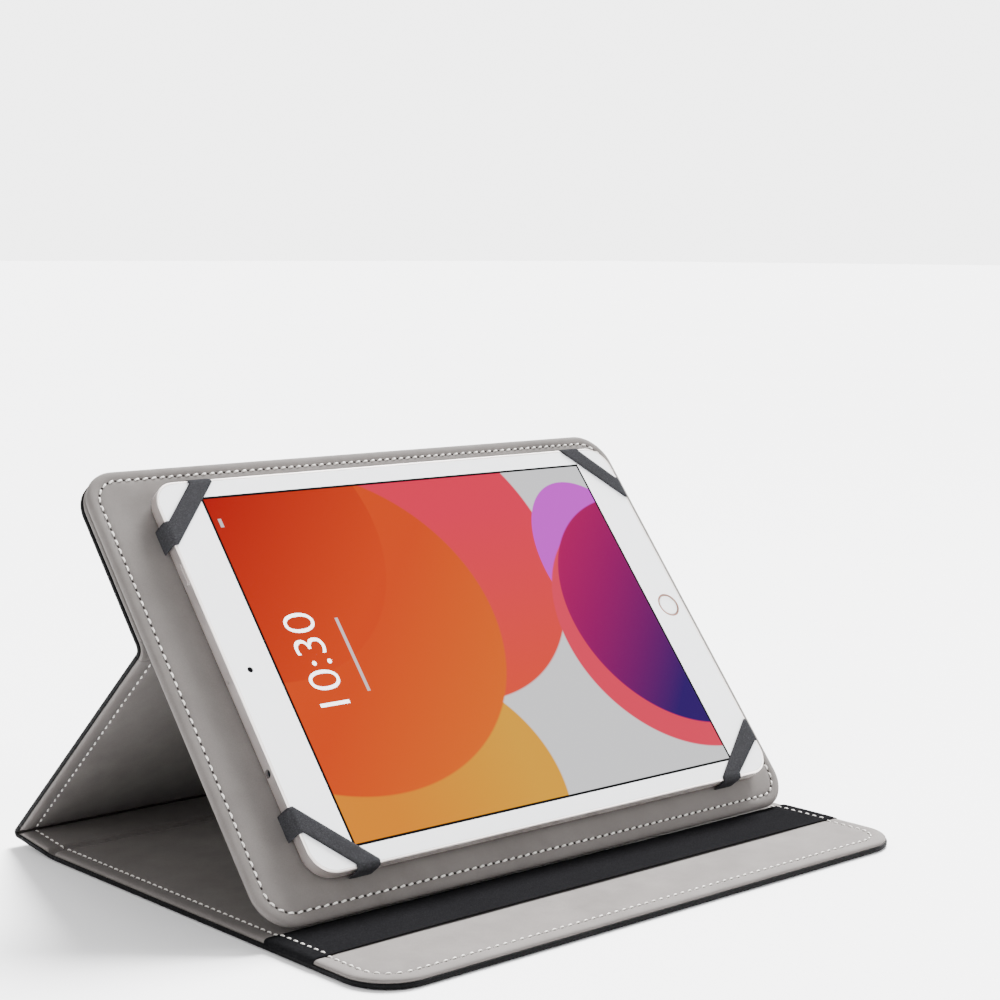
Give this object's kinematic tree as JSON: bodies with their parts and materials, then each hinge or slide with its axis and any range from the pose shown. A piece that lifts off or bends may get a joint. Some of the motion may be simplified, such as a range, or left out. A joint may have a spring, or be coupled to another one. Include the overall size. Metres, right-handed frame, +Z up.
{
  "type": "tablet computer in stand folio",
  "caption": "Slim tablet computer with a round home button, held by elastic corner straps in a folding leather folio that props it up as a stand.",
  "frame": {"origin": "centre of the underside's bounding box, on the table", "axes": "+X along the long edge to the home-button end, +Y to the rear, +Z up"},
  "size_m": [0.286, 0.2432, 0.161],
  "materials": {
    "outer_leather": "black grained leather",
    "lining": "warm grey microfibre",
    "board": "stiff sheet",
    "adhesive": "soft satin",
    "elastic": "black woven elastic",
    "aluminium": "fine bead blasted",
    "glass_front": "polished, white ink behind",
    "white_ink": "smooth",
    "gasket": "satin",
    "display": "gloss",
    "backlight": "satin",
    "shield_metal": "satin",
    "battery_wrap": "satin film",
    "circuit_board": "solder mask",
    "flex_cable": "satin film",
    "button_white": "gloss",
    "ring_metal": "polished rose",
    "plastic_black": "matt",
    "lens_glass": "polished",
    "contact_metal": "plated"
  },
  "bodies": {
    "front_cover": {"front_cover_board": "board", "front_cover_lining": "lining", "front_cover_skin": "outer_leather", "elastic_band": "elastic", "front_fold_strip": "outer_leather"},
    "spine": {"spine_board": "board", "spine_lining": "lining", "spine_skin": "outer_leather", "spine_fold_strip": "outer_leather"},
    "stand_panel": {"stand_panel_board": "board", "stand_panel_lining": "lining", "stand_panel_skin": "outer_leather", "stand_fold_strip": "outer_leather"},
    "tablet_holder": {"antennas": "flex_cable", "back_panel_board": "board", "back_panel_lining": "lining", "back_panel_skin": "outer_leather", "battery_left": "battery_wrap", "battery_right": "battery_wrap", "bezel_mask": "white_ink", "board_screws": "shield_metal", "board_shields": "shield_metal", "charging_port": "plastic_black", "corner_strap_lower_left": "elastic", "corner_strap_lower_right": "elastic", "corner_strap_upper_left": "elastic", "corner_strap_upper_right": "elastic", "cover_glass": "glass_front", "display_backlight": "backlight", "display_cable": "flex_cable", "display_gasket": "gasket", "display_panel": "display", "display_shield": "shield_metal", "front_camera": "plastic_black", "headphone_jack": "plastic_black", "holder_adhesive": "adhesive", "holder_backing": "outer_leather", "holder_board": "board", "holder_lining": "lining", "home_button_bracket": "shield_metal", "home_button_ring": "ring_metal", "home_button_switch": "contact_metal", "logic_board": "circuit_board", "microphone": "shield_metal", "power_button_switch": "plastic_black", "rear_camera": "plastic_black", "rear_camera_lens": "lens_glass", "rear_housing": "aluminium", "speakers": "plastic_black", "volume_button_switches": "plastic_black"},
    "home_key": {"home_button": "button_white"},
    "power_key": {"power_button": "aluminium"},
    "volume_up_key": {"volume_up_button": "aluminium"},
    "volume_down_key": {"volume_down_button": "aluminium"}
  },
  "joints": [
    {"name": "cover_hinge", "type": "hinge", "parent": "front_cover", "child": "spine", "pos_m": [0, 0.09414, 0.0006], "axis": [1, 0, 0], "range_deg": [-6.58, 0], "deforming": ["front_fold_strip"]},
    {"name": "stand_hinge", "type": "hinge", "parent": "spine", "child": "stand_panel", "pos_m": [0, 0.12539, 0.0042], "axis": [1, 0, 0], "range_deg": [-130.77, 0], "deforming": ["spine_fold_strip"]},
    {"name": "back_hinge", "type": "hinge", "parent": "stand_panel", "child": "tablet_holder", "pos_m": [0, 0.02483, 0.09687], "axis": [1, 0, 0], "range_deg": [0, 86.55], "deforming": ["stand_fold_strip"]},
    {"name": "home_press", "type": "slide", "parent": "tablet_holder", "child": "home_key", "axis": [0, 0.7749, -0.632], "range_m": [0, 0.00025], "stiffness_N_per_m": 500},
    {"name": "power_press", "type": "slide", "parent": "tablet_holder", "child": "power_key", "axis": [1, 0, 0], "range_m": [0, 0.00025], "stiffness_N_per_m": 500},
    {"name": "volume_up_press", "type": "slide", "parent": "tablet_holder", "child": "volume_up_key", "axis": [0, -0.632, -0.7749], "range_m": [0, 0.00025], "stiffness_N_per_m": 500},
    {"name": "volume_down_press", "type": "slide", "parent": "tablet_holder", "child": "volume_down_key", "axis": [0, -0.632, -0.7749], "range_m": [0, 0.00025], "stiffness_N_per_m": 500}
  ],
  "couplings": [
    {"joint": "back_hinge", "follows": "stand_hinge", "ratio": -0.66177},
    {"joint": "cover_hinge", "follows": "stand_hinge", "ratio": 0.050241}
  ]
}
